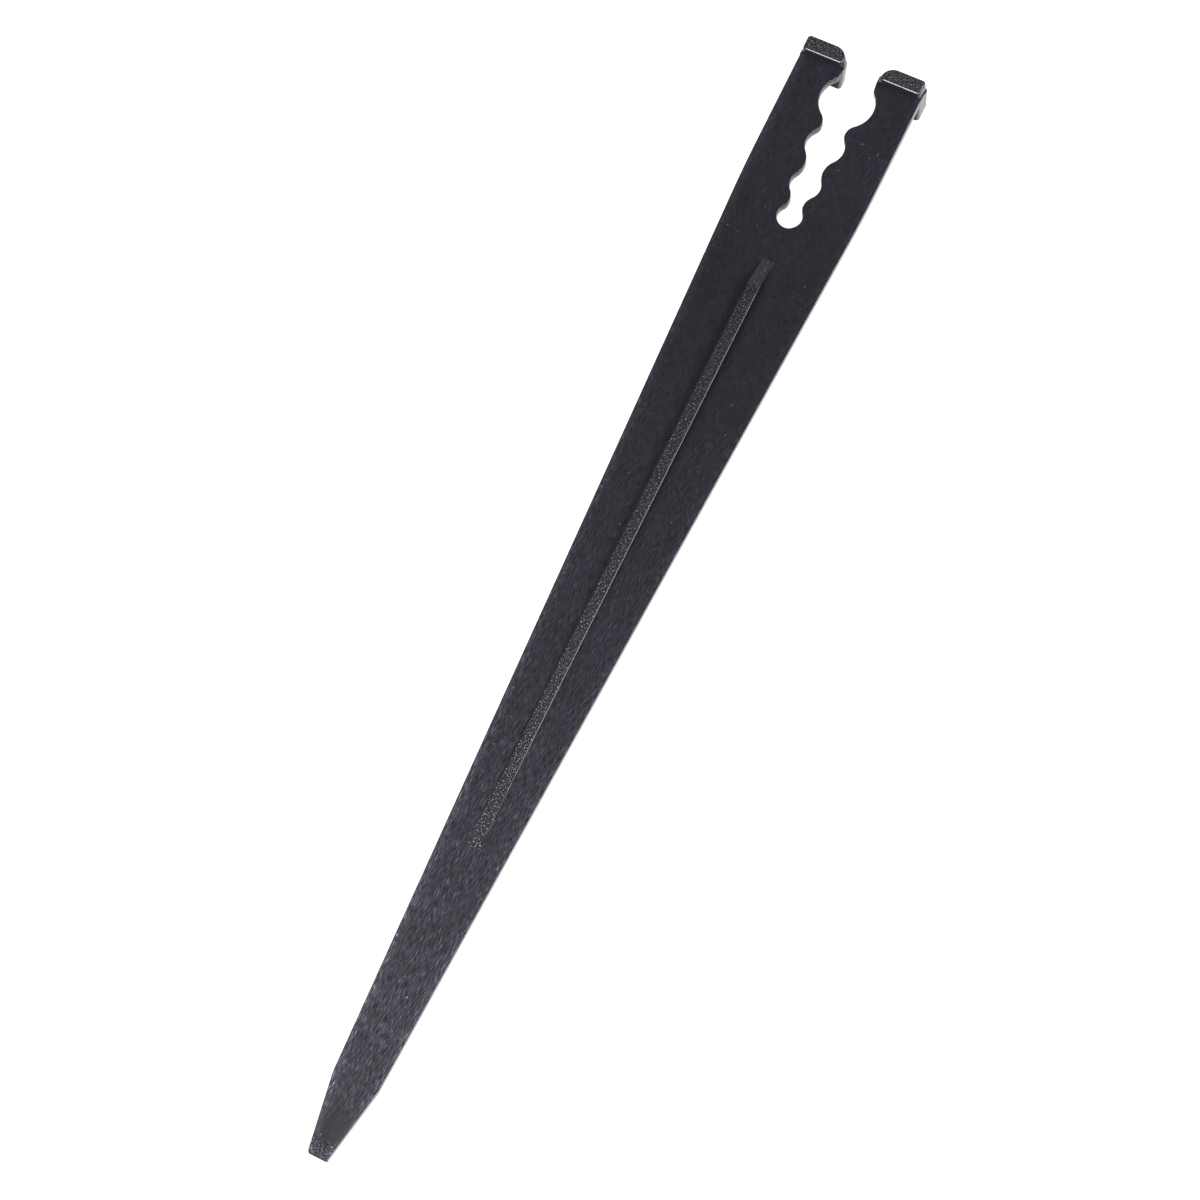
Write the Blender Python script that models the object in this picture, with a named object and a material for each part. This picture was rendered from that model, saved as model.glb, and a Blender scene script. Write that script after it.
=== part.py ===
"""Garden stake that holds thin irrigation tubing: one moulded plastic piece, lying on its back.

X is the width, Y the length with the prongs at +Y, and Z is up, out of the ribbed front.
The origin is under the middle of the stake, level with the back of its prong heads.
Sizes are in millimetres here and become metres when a mesh is made.
"""

from math import acos, atan2, cos, pi, sin

import bmesh
import bpy

MM = 0.001

# Driving dimensions.
LENGTH = 148.0
HEAD_WIDTH = 14.6
PLATE_THICKNESS = 1.2
FRONT_RISE = 1.15
BACK_RISE = 3.2

# Blade: a parallel head, a soft shoulder, a long taper and a short point, up to a blunt end.
SHOULDER_Y = 130.5
SHOULDER_RADIUS = 200.0
POINT_Y = 10.2
POINT_WIDTH = 5.42
END_WIDTH = 2.4
END_RADIUS = 0.3

# Tube seats down the slot, as (place from the tip, radius), with a narrower neck between neighbours.
SEATS = [(142.5, 3.26), (136.5, 2.32), (131.2, 1.86), (127.05, 1.44)]
NECKS = [(138.75, 1.52), (133.45, 1.22), (128.7, 0.94)]
MOUTH_HALF_AT_SEAT = 2.26
MOUTH_HALF_AT_HEAD = 2.1

# Prong head: a short bar across the end of each prong, standing out of both faces of the plate.
# The depth is along the stake, and the draft draws its four sides in towards the front and the back.
HEAD_INNER_X = 2.05
HEAD_INNER_RADIUS = 1.5
HEAD_OUTER_RADIUS = 0.35
HEAD_EDGE_RADIUS = 0.15
FRONT = {"depth": 2.12, "inner": 0.24, "outer": 0.1, "lower": 0.32, "upper": 0.09}
BACK = {"depth": 2.3, "inner": 0.2, "outer": 0.06, "lower": 0.05, "upper": 0.1}

# Rib along the middle of both faces: a steep ramp under the slot, then a long run down to nothing.
RIB_WIDTH = 1.62
RIB_TOP_Y = 116.9
RIB_RAMP_LENGTH = 4.0
RIB_RUN_LENGTH = 75.4

# How finely curves are cut up, and the angle from which an edge is drawn sharp.
ARC_STEP = 6 * pi / 180
SHOULDER_STEPS = 6
CORNER_STEPS = 6
SHARP_ANGLE = 30 * pi / 180

PLASTIC_COLOUR = (0.03, 0.029, 0.033, 1.0)
PLASTIC_ROUGHNESS = 0.42

PLATE_BACK_Z = BACK_RISE
PLATE_FRONT_Z = BACK_RISE + PLATE_THICKNESS
TOTAL_HEIGHT = PLATE_FRONT_Z + FRONT_RISE
HEAD_LOWER_Y = LENGTH - FRONT["depth"]
PLATE_TOP_Y = LENGTH - FRONT["depth"] / 2


def arc(centre, radius, start, end, steps=None):
    """Points on a circle from one angle to another, both ends included."""
    steps = steps or max(2, round(abs(end - start) / ARC_STEP))
    angles = [start + (end - start) * i / steps for i in range(steps + 1)]
    return [(centre[0] + radius * cos(a), centre[1] + radius * sin(a)) for a in angles]


def without_repeats(points):
    kept = [points[0]]
    for point in points[1:]:
        if abs(point[0] - kept[-1][0]) + abs(point[1] - kept[-1][1]) > 1e-6:
            kept.append(point)
    return kept


def neck_radius(seat, neck):
    """Radius of the arc that touches the neck's narrowest line and the seat's circle."""
    (seat_y, seat_radius), (neck_y, neck_half) = seat, neck
    numerator = (seat_y - neck_y) ** 2 + neck_half**2 - seat_radius**2
    return numerator / (2 * (seat_radius - neck_half))


def neck_points(upper_seat, neck, lower_seat):
    """The rounded bump of one neck, from the seat above it to the seat below it."""
    neck_y, neck_half = neck
    points = []
    for seat, entering in ((upper_seat, True), (lower_seat, False)):
        radius = neck_radius(seat, neck)
        centre = (neck_half + radius, neck_y)
        touch = pi - atan2(seat[0] - neck_y, centre[0])
        points += arc(centre, radius, touch, pi) if entering else arc(centre, radius, pi, touch)
    return points


def angle_towards_neck(seat, neck):
    """Where on the seat's circle the neck's arc leaves it."""
    radius = neck_radius(seat, neck)
    return atan2(neck[0] - seat[0], neck[1] + radius)


def slot_half_outline():
    """The slot's wall on the +X side, from the mouth down to the bottom of the last seat."""
    points = [(MOUTH_HALF_AT_HEAD, PLATE_TOP_Y), (MOUTH_HALF_AT_HEAD, HEAD_LOWER_Y)]
    start = acos(MOUTH_HALF_AT_SEAT / SEATS[0][1])
    for index, seat in enumerate(SEATS):
        last = index == len(SEATS) - 1
        end = -pi / 2 if last else angle_towards_neck(seat, NECKS[index])
        points += arc((0, seat[0]), seat[1], start, end)
        if not last:
            below = SEATS[index + 1]
            points += neck_points(seat, NECKS[index], below)
            start = angle_towards_neck(below, NECKS[index])
    return points


def shoulder_arc(taper_angle):
    """The soft bend between the head's straight side and the taper."""
    reach = SHOULDER_RADIUS * sin(taper_angle / 2) / cos(taper_angle / 2)
    centre = (HEAD_WIDTH / 2 - SHOULDER_RADIUS, SHOULDER_Y + reach)
    return arc(centre, SHOULDER_RADIUS, -taper_angle, 0, SHOULDER_STEPS)


def blade_half_outline():
    """The outer side at +X, from the middle of the blunt end up to the head."""
    point_angle = atan2((POINT_WIDTH - END_WIDTH) / 2, POINT_Y)
    taper_angle = atan2((HEAD_WIDTH - POINT_WIDTH) / 2, SHOULDER_Y - POINT_Y)
    end_turn = pi / 2 - point_angle
    corner_x = END_WIDTH / 2 - END_RADIUS * sin(end_turn / 2) / cos(end_turn / 2)
    end_corner = arc((corner_x, END_RADIUS), END_RADIUS, -pi / 2, -point_angle, CORNER_STEPS)
    top = (HEAD_WIDTH / 2, PLATE_TOP_Y)
    return [(0, 0)] + end_corner + [(POINT_WIDTH / 2, POINT_Y)] + shoulder_arc(taper_angle) + [top]


def plate_outline():
    half = without_repeats(blade_half_outline() + slot_half_outline())
    mirrored = [(-x, y) for x, y in reversed(half[1:-1])]
    return half + mirrored


def to_metres(x, y, z):
    return (x * MM, (y - LENGTH / 2) * MM, z * MM)


def loft(bm, sections):
    """A closed solid through (outline, z) sections that have the same number of points."""
    rings = [[bm.verts.new(to_metres(x, y, z)) for x, y in outline] for outline, z in sections]
    count = len(rings[0])
    for low, high in zip(rings, rings[1:]):
        for i in range(count):
            j = (i + 1) % count
            bm.faces.new((low[i], low[j], high[j], high[i]))
    bm.faces.new(list(reversed(rings[0])))
    bm.faces.new(rings[-1])


def finish_mesh(name, bm):
    bmesh.ops.recalc_face_normals(bm, faces=bm.faces)
    mesh = bpy.data.meshes.new(name)
    bm.to_mesh(mesh)
    bm.free()
    obj = bpy.data.objects.new(name, mesh)
    bpy.context.scene.collection.objects.link(obj)
    return obj


def make_plate(name):
    outline = plate_outline()
    bm = bmesh.new()
    loft(bm, [(outline, PLATE_BACK_Z), (outline, PLATE_FRONT_Z)])
    return finish_mesh(name, bm)


def rounded_rectangle(x0, x1, y0, y1, radii):
    """Counter-clockwise from the lower left corner, which has the first of the four radii."""
    corners = [(x0, y0, 1, 1), (x1, y0, -1, 1), (x1, y1, -1, -1), (x0, y1, 1, -1)]
    points = []
    for index, ((x, y, sx, sy), radius) in enumerate(zip(corners, radii)):
        start = pi + index * pi / 2
        centre = (x + sx * radius, y + sy * radius)
        points += arc(centre, radius, start, start + pi / 2, CORNER_STEPS)
    return points


def head_section(half, share):
    """Outline of the +X prong head's front or back half, drawn in by a share of its draft."""
    return rounded_rectangle(
        HEAD_INNER_X + half["inner"] * share,
        HEAD_WIDTH / 2 - half["outer"] * share,
        LENGTH - half["depth"] + half["lower"] * share,
        LENGTH - half["upper"] * share,
        (HEAD_EDGE_RADIUS, HEAD_EDGE_RADIUS, HEAD_OUTER_RADIUS, HEAD_INNER_RADIUS),
    )


def make_prong_head(name, side):
    """side is 1 for the head at +X and -1 for its mirror image."""
    levels = [
        (head_section(BACK, 1), 0),
        (head_section(BACK, 0), PLATE_BACK_Z),
        (head_section(FRONT, 0), PLATE_FRONT_Z),
        (head_section(FRONT, 1), TOTAL_HEIGHT),
    ]
    bm = bmesh.new()
    loft(bm, [([(side * x, y) for x, y in outline], z) for outline, z in levels])
    return finish_mesh(name, bm)


def make_rib(name):
    """A long thin diamond through the plate, so that it stands out of both faces."""
    middle_z = (PLATE_BACK_Z + PLATE_FRONT_Z) / 2
    half_height = PLATE_THICKNESS / 2 + FRONT_RISE
    stretch = half_height / FRONT_RISE
    profile = [
        (RIB_TOP_Y + RIB_RAMP_LENGTH * stretch, middle_z),
        (RIB_TOP_Y, middle_z + half_height),
        (RIB_TOP_Y - RIB_RUN_LENGTH * stretch, middle_z),
        (RIB_TOP_Y, middle_z - half_height),
    ]
    bm = bmesh.new()
    sides = [
        [bm.verts.new(to_metres(x, y, z)) for y, z in profile]
        for x in (-RIB_WIDTH / 2, RIB_WIDTH / 2)
    ]
    count = len(profile)
    for i in range(count):
        j = (i + 1) % count
        bm.faces.new((sides[0][i], sides[0][j], sides[1][j], sides[1][i]))
    for side in sides:
        bm.faces.new(side)
    return finish_mesh(name, bm)


def black_plastic():
    material = bpy.data.materials.new("black_plastic")
    material.use_nodes = True
    shader = material.node_tree.nodes["Principled BSDF"]
    shader.inputs["Base Color"].default_value = PLASTIC_COLOUR
    shader.inputs["Roughness"].default_value = PLASTIC_ROUGHNESS
    shader.inputs["Metallic"].default_value = 0.0
    return material


def join(target, helper):
    """Fuses the helper's shape into the target, and leaves the helper itself out of the part."""
    modifier = target.modifiers.new("join_" + helper.name, "BOOLEAN")
    modifier.operation = "UNION"
    modifier.solver = "EXACT"
    modifier.object = helper
    helper.hide_render = True
    helper.display_type = "WIRE"


def clear_scene():
    for obj in list(bpy.data.objects):
        bpy.data.objects.remove(obj, do_unlink=True)


def build():
    clear_scene()
    stake = make_plate("tubing_stake")
    join(stake, make_rib("rib_shape"))
    join(stake, make_prong_head("right_head_shape", 1))
    join(stake, make_prong_head("left_head_shape", -1))
    stake.data.materials.append(black_plastic())
    stake.data.shade_smooth()
    stake.data.set_sharp_from_angle(angle=SHARP_ANGLE)


build()
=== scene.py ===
"""Looks of the tubing stake: the whole moulding with rounded edges, draft and the ledge where its
mould parted, its black plastic, a plain white light table, soft studio light and the camera.

Sizes are in millimetres here, with Y counted from the tip, and become metres in to_metres.
"""

from math import acos, atan2, cos, pi, radians, sin, sqrt, tan

import bmesh
import bpy
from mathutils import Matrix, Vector


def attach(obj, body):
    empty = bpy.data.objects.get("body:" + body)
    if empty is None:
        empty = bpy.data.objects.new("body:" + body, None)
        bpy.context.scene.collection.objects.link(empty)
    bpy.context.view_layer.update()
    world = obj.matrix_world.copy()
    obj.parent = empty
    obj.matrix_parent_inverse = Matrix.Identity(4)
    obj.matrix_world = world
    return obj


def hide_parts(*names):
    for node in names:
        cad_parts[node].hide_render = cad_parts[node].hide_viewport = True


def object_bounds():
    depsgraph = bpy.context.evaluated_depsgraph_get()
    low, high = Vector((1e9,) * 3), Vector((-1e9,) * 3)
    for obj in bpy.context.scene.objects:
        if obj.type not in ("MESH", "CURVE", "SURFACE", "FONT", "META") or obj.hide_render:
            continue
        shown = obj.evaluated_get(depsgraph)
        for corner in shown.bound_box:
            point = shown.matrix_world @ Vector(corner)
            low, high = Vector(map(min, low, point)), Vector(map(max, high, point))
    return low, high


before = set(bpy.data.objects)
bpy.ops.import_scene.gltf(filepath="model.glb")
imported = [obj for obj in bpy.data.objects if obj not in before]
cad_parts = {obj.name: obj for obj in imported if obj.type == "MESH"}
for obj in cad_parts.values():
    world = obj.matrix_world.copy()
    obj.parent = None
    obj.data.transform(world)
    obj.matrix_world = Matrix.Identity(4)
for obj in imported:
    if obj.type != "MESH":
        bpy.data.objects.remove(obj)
cad_low, cad_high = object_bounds()

MM = 0.001

# Overall sizes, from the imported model.
HEAD_WIDTH = (cad_high.x - cad_low.x) / MM
LENGTH = (cad_high.y - cad_low.y) / MM
TOTAL_HEIGHT = (cad_high.z - cad_low.z) / MM

# Levels of the plate, between the backs and the fronts of the prong heads.
PLATE_THICKNESS = 1.2
FRONT_RISE = 1.15
FRONT_Z = TOTAL_HEIGHT - FRONT_RISE
BACK_Z = FRONT_Z - PLATE_THICKNESS

# Blade: a parallel head, a soft shoulder, a long taper and a short point, up to a blunt end.
SHOULDER_Y = 130.5
SHOULDER_RADIUS = 200.0
POINT_Y = 10.2
POINT_WIDTH = 5.42
END_WIDTH = 2.44
END_RADIUS = 0.2
END_SLANT = 0.22
POINT_THINNING = 0.5

# The blade's +X side stands out a little along the taper, and less so at the back, as draft.
# It comes back in over this length below the end of the stake.
FRONT_STANDS_OUT = 0.2
BACK_STANDS_OUT = 0.1
STANDS_OUT_FADE = 30.0

# Tube seats down the slot, as (place from the tip, radius), with a narrower neck between neighbours.
# The mould's core sits a little off the middle, so the +X wall of the slot stands in by SLOT_SET_IN.
SEATS = [(142.5, 3.26), (136.5, 2.32), (131.2, 1.86), (126.93, 1.54)]
NECKS = [(138.75, 1.52), (133.45, 1.22), (128.7, 0.94)]
MOUTH_HALF_AT_SEAT = 2.26
MOUTH_HALF_AT_HEAD = 2.1
SLOT_SET_IN = 0.18

# Prong head, whose two halves meet at the plate's front face. For each half: its depth along the
# stake, how far its outer side is set in, and how far draft draws its sides in at the front or back.
# The front half is set in more than the back half, so that a narrow ledge shows between them.
# The ledge drops towards the end of the stake.
HEAD_INNER_X = 2.05
HEAD_INNER_RADIUS = 1.5
HEAD_OUTER_RADIUS = 0.4
HEAD_LOWER_RADIUS = 0.42
FRONT = {"depth": 2.12, "inner": 0.24, "set_in": 0.08, "outer": 0.07, "lower": 0.14, "upper": 0.09}
BACK = {"depth": 2.55, "inner": 0.2, "set_in": -0.04, "outer": 0.06, "lower": 0.0, "upper": 0.1}
LEDGE_DROP = 0.7
PLATE_TOP_Y = LENGTH - FRONT["depth"] / 2

# Rib along the middle of both faces.
RIB_WIDTH = 1.62
RIB_TOP_Y = 116.9
RIB_RAMP_LENGTH = 4.0
RIB_RUN_LENGTH = 75.4
RIB_DRAFT = 0.05

# Rounding of the edges. The rib's edges are rounder where it is low, up to a share of its height.
PLATE_EDGE = 0.05
HEAD_EDGE = 0.22
RIB_EDGE_AT_TOP = 0.13
RIB_EDGE_AT_END = 0.24
RIB_EDGE_SHARE = 0.9
THINNEST_EDGE = 0.01

# How finely curves and long runs are cut up.
ARC_STEP = radians(3)
CORNER_STEPS = 8
EDGE_STEPS = 6
PLATE_EDGE_STEPS = 3
RIB_RUN_STEPS = 40
RIB_RAMP_STEPS = 8

# The rib's foot is sunk this deep into the plate, and both its ends run on under the face.
SUNK = 0.3
RIB_END_MARGIN = 0.1

# Points this close are one point, within an outline and within the finished mesh.
SAME_OUTLINE_POINT = 1e-6
SAME_POINT = 0.002

# An inset corner moves at most 1 / MITRE_LIMIT times as far as its sides.
MITRE_LIMIT = 0.3

# From this angle an edge is drawn sharp. A face faces a direction when the cosine between them is
# at least this, which is about 20 degrees.
SHARP_ANGLE = radians(35)
FLAT_ENOUGH = 0.94

# Black plastic: two tints of brightness 1, and how bright it is near the tip, where it is paler from
# wear and from a painted sheen for the light the face catches there, and where clean above the rib.
# From there to the heads it becomes a little paler again.
# All places on the stake are counted from its middle here.
VIOLET_BLACK = (1.0, 0.94, 1.5, 1.0)
GREY_BLACK = (1.0, 0.94, 1.24, 1.0)
TIP_WEAR_AND_SHEEN_BRIGHTNESS = 0.0112
CLEAN_BRIGHTNESS = 0.0034
TIP_WEAR_AND_SHEEN_Y = -54
CLEAN_Y = 44
HEAD_WEAR_Y = 60
HEAD_WEAR = 1.3
CUT_Y = -LENGTH / 2
RIB_LOW_Y = RIB_TOP_Y - RIB_RUN_LENGTH - LENGTH / 2
RIB_PEAK_Y = RIB_TOP_Y - LENGTH / 2
RIB_HIGH_Y = RIB_PEAK_Y + RIB_RAMP_LENGTH


def to_metres(x, y, z):
    return Vector((x * MM, (y - LENGTH / 2) * MM, z * MM))


# Outlines.


def arc(centre, radius, start, end, steps=None):
    """Points on a circle from one angle to another, both ends included."""
    steps = steps or max(2, round(abs(end - start) / ARC_STEP))
    angles = [start + (end - start) * i / steps for i in range(steps + 1)]
    return [(centre[0] + radius * cos(a), centre[1] + radius * sin(a)) for a in angles]


def without_repeats(points):
    kept = [points[0]]
    for point in points[1:]:
        if abs(point[0] - kept[-1][0]) + abs(point[1] - kept[-1][1]) > SAME_OUTLINE_POINT:
            kept.append(point)
    return kept


def neck_radius(seat, neck):
    """Radius of the arc that touches the neck's narrowest line and the seat's circle."""
    (seat_y, seat_radius), (neck_y, neck_half) = seat, neck
    numerator = (seat_y - neck_y) ** 2 + neck_half**2 - seat_radius**2
    return numerator / (2 * (seat_radius - neck_half))


def neck_points(upper_seat, neck, lower_seat):
    """The rounded bump of one neck, from the seat above it to the seat below it."""
    neck_y, neck_half = neck
    points = []
    for seat, entering in ((upper_seat, True), (lower_seat, False)):
        radius = neck_radius(seat, neck)
        centre = (neck_half + radius, neck_y)
        touch = pi - atan2(seat[0] - neck_y, centre[0])
        points += arc(centre, radius, touch, pi) if entering else arc(centre, radius, pi, touch)
    return points


def angle_towards_neck(seat, neck):
    """Where on the seat's circle the neck's arc leaves it."""
    return atan2(neck[0] - seat[0], neck[1] + neck_radius(seat, neck))


def slot_half_outline():
    """The slot's wall on the +X side, from the mouth down to the bottom of the last seat."""
    points = [(MOUTH_HALF_AT_HEAD, PLATE_TOP_Y), (MOUTH_HALF_AT_HEAD, LENGTH - FRONT["depth"])]
    start = acos(MOUTH_HALF_AT_SEAT / SEATS[0][1])
    for index, seat in enumerate(SEATS):
        last = index == len(SEATS) - 1
        end = -pi / 2 if last else angle_towards_neck(seat, NECKS[index])
        points += arc((0, seat[0]), seat[1], start, end)
        if not last:
            below = SEATS[index + 1]
            points += neck_points(seat, NECKS[index], below)
            start = angle_towards_neck(below, NECKS[index])
    return points


def blade_half_outline():
    """The outer side at +X, from the middle of the blunt end up to the head."""
    point_angle = atan2((POINT_WIDTH - END_WIDTH) / 2, POINT_Y)
    taper_angle = atan2((HEAD_WIDTH - POINT_WIDTH) / 2, SHOULDER_Y - POINT_Y)
    corner_x = END_WIDTH / 2 - END_RADIUS * tan((pi / 2 - point_angle) / 2)
    end_corner = arc((corner_x, END_RADIUS), END_RADIUS, -pi / 2, -point_angle, CORNER_STEPS)
    shoulder_centre = (
        HEAD_WIDTH / 2 - SHOULDER_RADIUS,
        SHOULDER_Y + SHOULDER_RADIUS * tan(taper_angle / 2),
    )
    shoulder = arc(shoulder_centre, SHOULDER_RADIUS, -taper_angle, 0, CORNER_STEPS)
    top = (HEAD_WIDTH / 2, PLATE_TOP_Y)
    return [(0, 0)] + end_corner + [(POINT_WIDTH / 2, POINT_Y)] + shoulder + [top]


def slanted_end(point):
    """The blunt end was cut a little short on the -X side."""
    x, y = point
    if y > 2 * END_RADIUS:
        return point
    return (x, y + END_SLANT * (0.5 - x / END_WIDTH))


def plate_outline(stands_out):
    """The plate at one level, where its +X side stands out by this much along the taper."""
    side, slot = blade_half_outline(), slot_half_outline()
    moved_side = []
    for x, y in side:
        share = min(1.0, y / POINT_Y, (LENGTH - y) / STANDS_OUT_FADE)
        moved_side.append((x + stands_out * share, y))
    # Within 1 mm of the middle the slot is set in less, so that its bottom stays where it is.
    moved_slot = [(x - SLOT_SET_IN * min(1.0, x), y) for x, y in slot]
    half = without_repeats(side + slot)
    mirrored = [(-x, y) for x, y in reversed(half[1:-1])]
    return [slanted_end(point) for point in without_repeats(moved_side + moved_slot) + mirrored]


def rounded_rectangle(x0, x1, y0, y1, radii):
    """Counter-clockwise from the lower left corner, which has the first of the four radii."""
    corners = [(x0, y0, 1, 1), (x1, y0, -1, 1), (x1, y1, -1, -1), (x0, y1, 1, -1)]
    points = []
    for index, ((x, y, sx, sy), radius) in enumerate(zip(corners, radii)):
        start = pi + index * pi / 2
        centre = (x + sx * radius, y + sy * radius)
        points += arc(centre, radius, start, start + pi / 2, CORNER_STEPS)
    return points


def inset(outline, distance):
    """The counter-clockwise outline moved inwards, with mitred corners."""
    moved = []
    for i, point in enumerate(outline):
        before = Vector(point) - Vector(outline[i - 1])
        after = Vector(outline[(i + 1) % len(outline)]) - Vector(point)
        normals = [Vector((-d.y, d.x)).normalized() for d in (before, after)]
        middle = (normals[0] + normals[1]).normalized()
        stretch = 1 / max(MITRE_LIMIT, middle.dot(normals[0]))
        moved.append(tuple(Vector(point) + middle * distance * stretch))
    return moved


# Solids.


def loft(bm, rings):
    """A closed solid through rings of points that have the same number of points."""
    rows = [[bm.verts.new(to_metres(*point)) for point in ring] for ring in rings]
    count = len(rows[0])
    for low, high in zip(rows, rows[1:]):
        for i in range(count):
            j = (i + 1) % count
            bm.faces.new((low[i], low[j], high[j], high[i]))
    bm.faces.new(list(reversed(rows[0])))
    bm.faces.new(rows[-1])


def solid(name, rings):
    bm = bmesh.new()
    loft(bm, rings)
    bmesh.ops.recalc_face_normals(bm, faces=bm.faces)
    mesh = bpy.data.meshes.new(name)
    bm.to_mesh(mesh)
    bm.free()
    obj = bpy.data.objects.new(name, mesh)
    bpy.context.scene.collection.objects.link(obj)
    return obj


def quarter_turn(steps):
    return [i * pi / 2 / steps for i in range(steps + 1)]


def make_plate():
    back, front = plate_outline(BACK_STANDS_OUT), plate_outline(FRONT_STANDS_OUT)
    turns = quarter_turn(PLATE_EDGE_STEPS)
    edge = [(PLATE_EDGE * (1 - sin(a)), PLATE_EDGE * (1 - cos(a))) for a in turns]
    rings = [[(x, y, BACK_Z + up) for x, y in inset(back, drawn_in)] for drawn_in, up in edge]
    edge.reverse()
    rings += [[(x, y, FRONT_Z - down) for x, y in inset(front, drawn_in)] for drawn_in, down in edge]
    plate = solid("plate", rings)
    thin_the_point(plate)
    return plate


def thin_the_point(plate):
    """Lifts the back of the point, so that the plate thins out towards the blunt end."""
    bm = bmesh.new()
    bm.from_mesh(plate.data)
    everything = bm.verts[:] + bm.edges[:] + bm.faces[:]
    bend = to_metres(0, POINT_Y, 0)
    bmesh.ops.bisect_plane(
        bm, geom=everything, dist=SAME_POINT * MM, plane_co=bend, plane_no=(0, 1, 0)
    )
    middle_z = to_metres(0, 0, (FRONT_Z + BACK_Z) / 2).z
    for vert in bm.verts:
        if vert.co.z < middle_z and vert.co.y < bend.y:
            vert.co.z += (bend.y - vert.co.y) * POINT_THINNING / POINT_Y
    bm.to_mesh(plate.data)
    bm.free()


def head_heights():
    """The levels, from back to front, at which a prong head's outline is worked out."""
    turns = quarter_turn(EDGE_STEPS)
    heights = [HEAD_EDGE * (1 - cos(a)) for a in turns]
    heights += [TOTAL_HEIGHT - z for z in heights]
    heights += [BACK_Z, FRONT_Z - SAME_POINT, FRONT_Z]
    return sorted(set(heights))


def quarter_circle(share):
    """How far a rounding of radius 1 draws in, from 0 where it starts to 1 at its far end."""
    share = min(1.0, max(0.0, share))
    return 1 - sqrt(1 - share**2)


def head_outline(z):
    """Outline of the +X prong head at a level, with its draft and its rounded edges."""
    if z < FRONT_Z:
        half, share = BACK, max(0.0, 1 - z / BACK_Z)
    else:
        half, share = FRONT, (z - FRONT_Z) / FRONT_RISE
    rounding = HEAD_EDGE * quarter_circle(1 - min(z, TOTAL_HEIGHT - z) / HEAD_EDGE)
    lower_y = LENGTH - half["depth"] + half["lower"] * share + rounding
    upper_y = LENGTH - half["upper"] * share - rounding
    lower_corner = HEAD_LOWER_RADIUS - rounding
    depth_left = upper_y - lower_y - lower_corner - SAME_POINT
    upper_inner = min(HEAD_INNER_RADIUS - rounding, depth_left)
    return rounded_rectangle(
        HEAD_INNER_X + half["inner"] * share + rounding,
        HEAD_WIDTH / 2 - half["set_in"] - half["outer"] * share - rounding,
        lower_y,
        upper_y,
        (lower_corner, lower_corner, HEAD_OUTER_RADIUS - rounding, upper_inner),
    )


def make_head(name, side):
    """side is 1 for the head at +X and -1 for its mirror image."""
    lower_y = LENGTH - FRONT["depth"]
    rings = []
    for z in head_heights():
        slope = LEDGE_DROP / FRONT["depth"] if FRONT_Z - SAME_POINT <= z <= FRONT_Z else 0.0
        outline = head_outline(z)
        rings.append([(side * x, y, z - slope * max(0.0, y - lower_y)) for x, y in outline])
    return solid(name, rings)


def rib_height(y):
    """Height over the plate's face: a steep ramp under the slot, then a long run down."""
    run = (y - (RIB_TOP_Y - RIB_RUN_LENGTH)) / RIB_RUN_LENGTH
    ramp = (RIB_TOP_Y + RIB_RAMP_LENGTH - y) / RIB_RAMP_LENGTH
    return FRONT_RISE * min(run, ramp)


def rib_section(y):
    """Half round-topped profile of the rib, as (x, height over the face)."""
    height = rib_height(y)
    rounding = RIB_EDGE_AT_END + (RIB_EDGE_AT_TOP - RIB_EDGE_AT_END) * height / FRONT_RISE
    edge = max(THINNEST_EDGE, min(rounding, RIB_EDGE_SHARE * height))
    half = RIB_WIDTH / 2 - RIB_DRAFT
    right = arc((half - edge, height - edge), edge, 0, pi / 2, EDGE_STEPS)
    left = [(-x, z) for x, z in reversed(right)]
    return [(RIB_WIDTH / 2, -SUNK)] + right + left + [(-RIB_WIDTH / 2, -SUNK)]


def make_rib(name, face_z, side):
    """side is 1 for the rib on the front and -1 for the one on the back."""
    low_end = RIB_TOP_Y - RIB_RUN_LENGTH * (1 + RIB_END_MARGIN)
    high_end = RIB_TOP_Y + RIB_RAMP_LENGTH * (1 + RIB_END_MARGIN)
    run, ramp = RIB_TOP_Y - low_end, high_end - RIB_TOP_Y
    places = [low_end + run * i / RIB_RUN_STEPS for i in range(RIB_RUN_STEPS + 1)]
    places += [RIB_TOP_Y + ramp * i / RIB_RAMP_STEPS for i in range(1, RIB_RAMP_STEPS + 1)]
    return solid(name, [[(x, y, face_z + side * z) for x, z in rib_section(y)] for y in places])


def join(target, others):
    """Fuses the other solids into the target and deletes them."""
    for other in others:
        modifier = target.modifiers.new("join_" + other.name, "BOOLEAN")
        modifier.operation = "UNION"
        modifier.solver = "EXACT"
        modifier.object = other
    graph = bpy.context.evaluated_depsgraph_get()
    bm = bmesh.new()
    bm.from_object(target, graph)
    bmesh.ops.remove_doubles(bm, verts=bm.verts, dist=SAME_POINT * MM)
    target.modifiers.clear()
    bm.to_mesh(target.data)
    bm.free()
    for other in others:
        bpy.data.objects.remove(other, do_unlink=True)


def make_stake():
    stake = make_plate()
    join(
        stake,
        [
            make_rib("front_rib", FRONT_Z, 1),
            make_rib("back_rib", BACK_Z, -1),
            make_head("right_head", 1),
            make_head("left_head", -1),
        ],
    )
    stake.name = "stake_moulding"
    stake.data.shade_smooth()
    stake.data.set_sharp_from_angle(angle=SHARP_ANGLE)
    weighted = stake.modifiers.new("flat_faces_stay_flat", "WEIGHTED_NORMAL")
    weighted.keep_sharp = True
    weighted.weight = 100
    return stake


# Materials.


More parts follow.
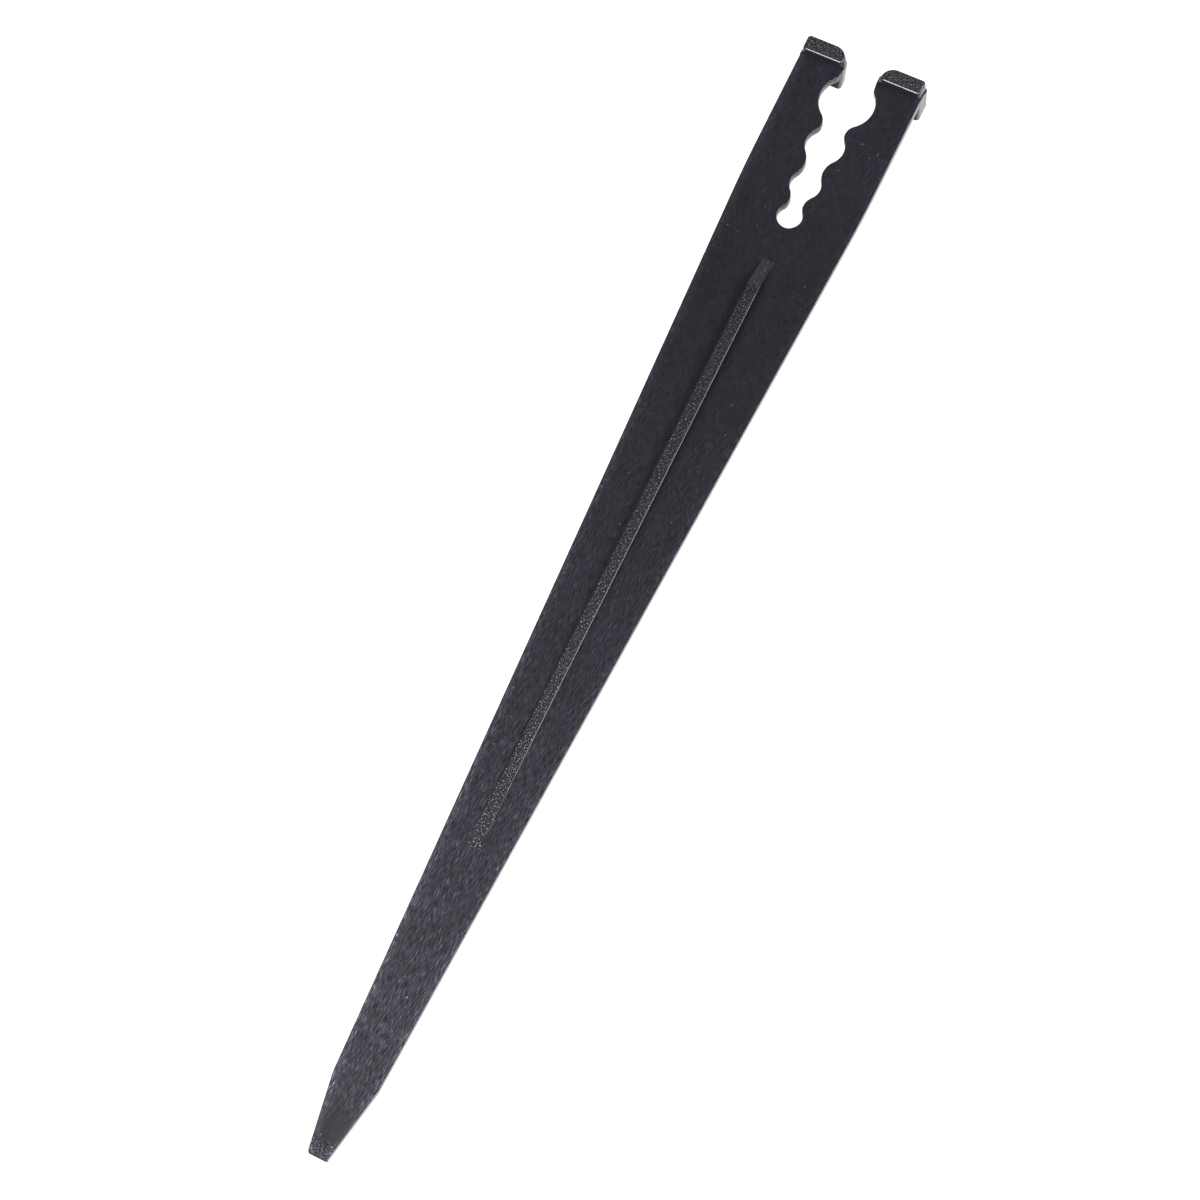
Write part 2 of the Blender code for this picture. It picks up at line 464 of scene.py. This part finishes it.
class Nodes:
    """Builds one material's node tree, with positions in millimetres and Y from the middle."""

    def __init__(self, name, roughness, specular):
        self.material = bpy.data.materials.new(name)
        self.material.use_nodes = True
        self.tree = self.material.node_tree
        self.shader = self.tree.nodes["Principled BSDF"]
        self.shader.inputs["Roughness"].default_value = roughness
        self.shader.inputs["Specular IOR Level"].default_value = specular
        in_metres = self.tree.nodes.new("ShaderNodeTexCoord").outputs["Object"]
        self.place = self.scaled(in_metres, 1 / MM)
        split = self.new("ShaderNodeSeparateXYZ", {0: self.place})
        self.x, self.y = split.outputs["X"], split.outputs["Y"]

    def new(self, kind, inputs, **settings):
        """A node with these settings. Each input is a number, a vector or another node's output."""
        node = self.tree.nodes.new(kind)
        for name, value in settings.items():
            setattr(node, name, value)
        for key, value in inputs.items():
            if isinstance(value, bpy.types.NodeSocket):
                self.tree.links.new(value, node.inputs[key])
            else:
                node.inputs[key].default_value = value
        return node

    def scaled(self, vector, factor):
        sockets = {0: vector, "Scale": factor}
        return self.new("ShaderNodeVectorMath", sockets, operation="SCALE").outputs[0]

    def math(self, operation, *terms):
        return self.new("ShaderNodeMath", dict(enumerate(terms)), operation=operation).outputs[0]

    def ramp(self, value, start, end, low=0.0, high=1.0, smooth=False):
        """low at start and high at end, held outside them."""
        kind = "SMOOTHSTEP" if smooth else "LINEAR"
        sockets = {"Value": value, "From Min": start, "From Max": end, "To Min": low, "To Max": high}
        return self.new("ShaderNodeMapRange", sockets, interpolation_type=kind).outputs["Result"]

    def noise(self, size, detail=2.0, seed=0.0):
        """Noise from 0 to 1 whose grains have this size in millimetres along X, Y and maybe Z."""
        scale = [1 / s for s in size] + [1.0] * (3 - len(size))
        spread = self.new(
            "ShaderNodeMapping",
            {"Vector": self.place, "Scale": scale, "Location": (seed, 0, 0)},
        )
        sockets = {"Vector": spread.outputs[0], "Scale": 1.0, "Detail": detail, "Roughness": 0.6}
        dimensions = "2D" if len(size) == 2 else "3D"
        texture = self.new("ShaderNodeTexNoise", sockets, noise_dimensions=dimensions)
        return texture.outputs["Fac"]

    def around_one(self, noise, strength):
        """1 where the noise is at its middle; a greater strength gives rarer and brighter peaks."""
        return self.math("POWER", self.math("MULTIPLY", noise, 2.0), strength)

    def times(self, *factors):
        product = factors[0]
        for factor in factors[1:]:
            product = self.math("MULTIPLY", product, factor)
        return product

    def tint(self, brightness, cool_share):
        """Sets the base colour: a violet black, greyer where cool_share is 0."""
        mixed = self.new(
            "ShaderNodeMix",
            {"Factor": cool_share, "A": GREY_BLACK, "B": VIOLET_BLACK},
            data_type="RGBA",
        )
        colour = self.scaled(mixed.outputs["Result"], brightness)
        self.tree.links.new(colour, self.shader.inputs["Base Color"])

    def bump(self, height, depth):
        """height from 0 to 1 stands for this depth in millimetres."""
        node = self.new("ShaderNodeBump", {"Height": height, "Distance": depth * MM, "Strength": 1.0})
        self.tree.links.new(node.outputs["Normal"], self.shader.inputs["Normal"])


def dust(nodes):
    """How much paler sparse flecks are. They take some of the cells of an uneven grid."""
    spacing, empty_share, paleness = 1.3, 0.4, 8.0
    rim, core = 0.08, 0.045
    cells = nodes.new("ShaderNodeTexVoronoi", {"Vector": nodes.place, "Scale": 1 / spacing})
    chance = nodes.new("ShaderNodeSeparateColor", {0: cells.outputs["Color"]}).outputs["Red"]
    chosen = nodes.math("GREATER_THAN", chance, empty_share)
    disc = nodes.ramp(cells.outputs["Distance"], start=rim, end=core)
    return nodes.ramp(nodes.times(disc, chosen), start=0.0, end=1.0, low=1.0, high=paleness)


def paler_towards_tip(nodes):
    """Brightness of the plastic along the stake, paler towards the tip by wear and painted sheen, and
    how violet it is.
    """
    wear_and_sheen_power = 1.5
    # Paler towards the tip: partly wear, partly a painted sheen standing in for the light caught
    # there.
    wear_and_sheen = nodes.math("POWER", nodes.ramp(nodes.y, CLEAN_Y, TIP_WEAR_AND_SHEEN_Y), wear_and_sheen_power)
    brightness = nodes.ramp(wear_and_sheen, 0.0, 1.0, low=CLEAN_BRIGHTNESS, high=TIP_WEAR_AND_SHEEN_BRIGHTNESS)
    near_heads = nodes.ramp(nodes.y, CLEAN_Y, HEAD_WEAR_Y, low=1.0, high=HEAD_WEAR)
    cool_share = nodes.ramp(nodes.y, TIP_WEAR_AND_SHEEN_Y, CLEAN_Y)
    return nodes.times(brightness, near_heads), cool_share


def outer_edge_wear(nodes):
    """How much paler the blade's speckled outer margins are. The one at -X is wider."""
    taper = (HEAD_WIDTH - POINT_WIDTH) / 2 / (SHOULDER_Y - POINT_Y)
    point = (POINT_WIDTH - END_WIDTH) / 2 / POINT_Y
    from_tip = nodes.math("ADD", nodes.y, LENGTH / 2)
    blade = nodes.math("MULTIPLY_ADD", from_tip, taper, POINT_WIDTH / 2 - taper * POINT_Y)
    tip = nodes.math("MULTIPLY_ADD", from_tip, point, END_WIDTH / 2)
    half = nodes.math("MINIMUM", nodes.math("MINIMUM", blade, tip), HEAD_WIDTH / 2)
    inwards = nodes.math("SUBTRACT", half, nodes.math("ABSOLUTE", nodes.x))
    wide_reach, narrow_reach = 1.2, 0.9
    left = nodes.math("LESS_THAN", nodes.x, 0.0)
    wide = nodes.times(nodes.ramp(inwards, wide_reach, 0.0, high=0.95, smooth=True), left)
    narrow = nodes.ramp(inwards, narrow_reach, 0.0, high=0.45, smooth=True)
    speckles = nodes.noise(size=(0.1, 0.8), detail=2, seed=9)
    speckled = nodes.around_one(speckles, strength=3.0)
    return nodes.math("ADD", nodes.times(nodes.math("MAXIMUM", wide, narrow), speckled), 1.0)


def shade_beside_rib(nodes):
    """How much darker the face is next to the rib, most where the rib stands highest."""
    reach, darkest = 1.2, 0.5
    rising = nodes.ramp(nodes.y, RIB_LOW_Y, RIB_PEAK_Y)
    height = nodes.times(rising, nodes.ramp(nodes.y, RIB_HIGH_Y, RIB_PEAK_Y))
    beside = nodes.math("SUBTRACT", nodes.math("ABSOLUTE", nodes.x), RIB_WIDTH / 2)
    near = nodes.ramp(beside, reach, 0.0, smooth=True)
    return nodes.math("SUBTRACT", 1.0, nodes.times(height, near, darkest))


def brushed_face():
    """The blade's faces: fine brushing along the length, stronger towards the tip, partly as painted
    glints.

    Next to the cut end the face is smooth for a little way and then as torn as the end itself.
    """
    nodes = Nodes("brushed_black_face", roughness=0.34, specular=0.3)
    brightness, cool_share = paler_towards_tip(nodes)
    paler = nodes.times(outer_edge_wear(nodes), dust(nodes))
    cool_share = nodes.math("SUBTRACT", cool_share, nodes.math("SUBTRACT", paler, 1.0))
    streaks = nodes.noise(size=(0.075, 0.95), detail=1)
    scratches = nodes.noise(size=(0.08, 2.0), detail=1, seed=5)
    clouds = nodes.noise(size=(1.6, 6.0, 3.0), detail=2, seed=7)
    tear = nodes.noise(size=(0.12, 0.12, 0.12), detail=0, seed=3)
    # Streaks grow stronger towards the tip, partly for harder brushing and partly as painted glints
    # of light.
    brushing_and_glints = nodes.ramp(nodes.y, TIP_WEAR_AND_SHEEN_Y, -TIP_WEAR_AND_SHEEN_Y, low=3.0, high=1.35)
    all_torn, none_torn, hardly_brushed, all_brushed = 1.6, 2.6, 4.0, 7.0
    torn = nodes.ramp(nodes.y, CUT_Y + none_torn, CUT_Y + all_torn, smooth=True)
    calm = nodes.ramp(nodes.y, CUT_Y + hardly_brushed, CUT_Y + all_brushed, low=0.15, smooth=True)
    scratching, tearing = 0.6, 4.3
    nodes.tint(
        nodes.times(
            brightness,
            paler,
            shade_beside_rib(nodes),
            nodes.around_one(streaks, nodes.times(brushing_and_glints, calm)),
            nodes.around_one(scratches, nodes.times(brushing_and_glints, calm, scratching)),
            nodes.around_one(tear, nodes.times(torn, tearing)),
            nodes.around_one(clouds, strength=0.35),
        ),
        cool_share,
    )
    nodes.bump(streaks, depth=0.004)
    return nodes.material


def spark_grain():
    """The rib's top and the fronts of the prong heads: a fine spark-eroded grain."""
    nodes = Nodes("spark_grain_black", roughness=0.42, specular=0.3)
    brightness, cool_share = paler_towards_tip(nodes)
    grain = nodes.noise(size=(0.15, 0.15), detail=0)
    on_head = nodes.math("GREATER_THAN", nodes.y, RIB_HIGH_Y)
    strength = nodes.ramp(on_head, 0.0, 1.0, low=7.5, high=4.6)
    paler = nodes.ramp(on_head, 0.0, 1.0, low=0.29, high=1.2)
    cool_share = nodes.math("SUBTRACT", cool_share, on_head)
    nodes.tint(nodes.times(brightness, paler, nodes.around_one(grain, strength)), cool_share)
    nodes.bump(grain, depth=0.016)
    return nodes.material


def smooth_ramp():
    """The rib's steep ends: as pale as the rib's top but without its grain."""
    nodes = Nodes("smooth_black_ramp", roughness=0.36, specular=0.3)
    brightness, cool_share = paler_towards_tip(nodes)
    paler, violet_share = 3.1, 0.3
    clouds = nodes.noise(size=(0.2, 0.4), detail=2)
    cloudy = nodes.around_one(clouds, strength=2.0)
    nodes.tint(nodes.times(brightness, paler, cloudy), nodes.times(cool_share, violet_share))
    nodes.bump(clouds, depth=0.003)
    return nodes.material


def polished_side():
    """The walls that the mould's polished sides left smooth."""
    nodes = Nodes("polished_black_side", roughness=0.24, specular=0.5)
    brightness, cool_share = paler_towards_tip(nodes)
    darker = 0.4
    drag = nodes.noise(size=(0.5, 0.5, 0.12), detail=2)
    nodes.tint(nodes.times(brightness, darker, nodes.around_one(drag, strength=1.0)), cool_share)
    nodes.bump(drag, depth=0.003)
    return nodes.material


def sheltered_step():
    """The prong heads' lower faces, duller than the other walls."""
    nodes = Nodes("dull_black_step", roughness=0.6, specular=0.12)
    brightness, cool_share = paler_towards_tip(nodes)
    paler = 1.6
    nodes.tint(nodes.times(brightness, paler), cool_share)
    return nodes.material


def cut_end():
    """The blunt end, where the moulding was cut from its runner: torn, dull and paler."""
    nodes = Nodes("cut_black_end", roughness=0.7, specular=0.05)
    brightness, cool_share = paler_towards_tip(nodes)
    paler = 2.2
    tear = nodes.noise(size=(0.12, 0.12, 0.12), detail=1)
    nodes.tint(nodes.times(brightness, paler, nodes.around_one(tear, strength=4.0)), cool_share)
    nodes.bump(tear, depth=0.03)
    return nodes.material


def finish_of(centre, normal):
    """Which finish a face of the moulding has, by where it is and how it lies."""
    x, y, z = centre.x / MM, centre.y / MM + LENGTH / 2, centre.z / MM
    if y < END_SLANT + SAME_POINT and normal.y < -FLAT_ENOUGH:
        return "cut"
    if y > LENGTH - BACK["depth"] - SAME_POINT and normal.y < -FLAT_ENOUGH:
        return "step"
    if abs(normal.z) < FLAT_ENOUGH:
        return "side"
    if y < POINT_Y or min(abs(z - FRONT_Z), abs(z - BACK_Z)) < SAME_POINT:
        return "brushed"
    if abs(x) < RIB_WIDTH / 2 and y > RIB_TOP_Y:
        return "ramp"
    return "grain"


def give_finishes(obj):
    makers = {
        "brushed": brushed_face,
        "grain": spark_grain,
        "ramp": smooth_ramp,
        "side": polished_side,
        "step": sheltered_step,
        "cut": cut_end,
    }
    obj.data.materials.clear()
    for maker in makers.values():
        obj.data.materials.append(maker())
    order = list(makers)
    for face in obj.data.polygons:
        face.material_index = order.index(finish_of(face.center, face.normal))


# Studio.


def make_light_table():
    """A plain white light table, so that the stake throws no hard shadow."""
    half_side, colour, glow = 8.0, (0.1, 0.1, 0.1, 1), 1.03
    bm = bmesh.new()
    bmesh.ops.create_grid(bm, x_segments=1, y_segments=1, size=half_side)
    mesh = bpy.data.meshes.new("light_table")
    bm.to_mesh(mesh)
    bm.free()
    table = bpy.data.objects.new("light_table", mesh)
    bpy.context.scene.collection.objects.link(table)
    material = bpy.data.materials.new("light_table_white")
    material.use_nodes = True
    shader = material.node_tree.nodes["Principled BSDF"]
    shader.inputs["Base Color"].default_value = colour
    shader.inputs["Roughness"].default_value = 0.9
    shader.inputs["Emission Color"].default_value = (1, 1, 1, 1)
    shader.inputs["Emission Strength"].default_value = glow
    mesh.materials.append(material)


def direction(azimuth, elevation):
    """Unit vector towards a place seen at these degrees, with azimuth 0 at -Y and 90 at +X."""
    a, e = radians(azimuth), radians(elevation)
    return Vector((sin(a) * cos(e), -cos(a) * cos(e), sin(e)))


def softbox(name, azimuth, elevation, width, height, radiance):
    """A one-sided rectangular lamp that faces the stake."""
    distance = 0.6
    lamp = bpy.data.lights.new(name, "AREA")
    lamp.shape = "RECTANGLE"
    lamp.size = width
    lamp.size_y = height
    lamp.energy = radiance * pi * width * height
    obj = bpy.data.objects.new(name, lamp)
    obj.location = direction(azimuth, elevation) * distance
    obj.rotation_euler = direction(azimuth, elevation).to_track_quat("Z", "Y").to_euler()
    obj.visible_camera = False
    bpy.context.scene.collection.objects.link(obj)


def make_world():
    """A white horizon and dimmer upper walls and ceiling."""
    horizon_end, ceiling_start, ceiling = 0.02, 0.3, (0.3, 0.3, 0.3, 1)
    world = bpy.data.worlds.new("studio_room")
    world.use_nodes = True
    nodes, links = world.node_tree.nodes, world.node_tree.links
    place = nodes.new("ShaderNodeTexCoord")
    parts = nodes.new("ShaderNodeSeparateXYZ")
    ramp = nodes.new("ShaderNodeValToRGB")
    ramp.color_ramp.elements[0].position = horizon_end
    ramp.color_ramp.elements[0].color = (1, 1, 1, 1)
    ramp.color_ramp.elements[1].position = ceiling_start
    ramp.color_ramp.elements[1].color = ceiling
    links.new(place.outputs["Generated"], parts.inputs["Vector"])
    links.new(parts.outputs["Z"], ramp.inputs["Fac"])
    links.new(ramp.outputs["Color"], nodes["Background"].inputs["Color"])
    bpy.context.scene.world = world


def make_lights():
    softbox("key", azimuth=-14, elevation=66, width=0.26, height=0.3, radiance=34)
    softbox("corner", azimuth=72, elevation=44, width=0.2, height=0.2, radiance=40)
    softbox("back_right", azimuth=120, elevation=35, width=0.3, height=0.25, radiance=13.5)


def make_camera():
    """A long lens from above the right front, a little off centre as the picture is framed."""
    azimuth, elevation, distance = 24.35, 64, 5.556
    sensor, seen_width = 36.0, 132.89
    beside, above, below_middle = 0.79, 0.91, 0.3
    towards = direction(azimuth, elevation)
    right = Vector((cos(radians(azimuth)), sin(radians(azimuth)), 0))
    up = towards.cross(right)
    aim = to_metres(0, LENGTH / 2 - below_middle, FRONT_Z) + (right * beside + up * above) * MM
    camera = bpy.data.cameras.new("camera")
    camera.sensor_width = sensor
    camera.lens = sensor * distance / (seen_width * MM)
    camera.clip_end = 2 * distance
    obj = bpy.data.objects.new("camera", camera)
    obj.location = aim + towards * distance
    obj.rotation_euler = towards.to_track_quat("Z", "Y").to_euler()
    bpy.context.scene.collection.objects.link(obj)
    bpy.context.scene.camera = obj


stake = make_stake()
give_finishes(stake)
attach(stake, "root")
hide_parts("tubing_stake")

make_light_table()
make_world()
make_lights()
make_camera()
bpy.context.scene.view_settings.view_transform = "Standard"
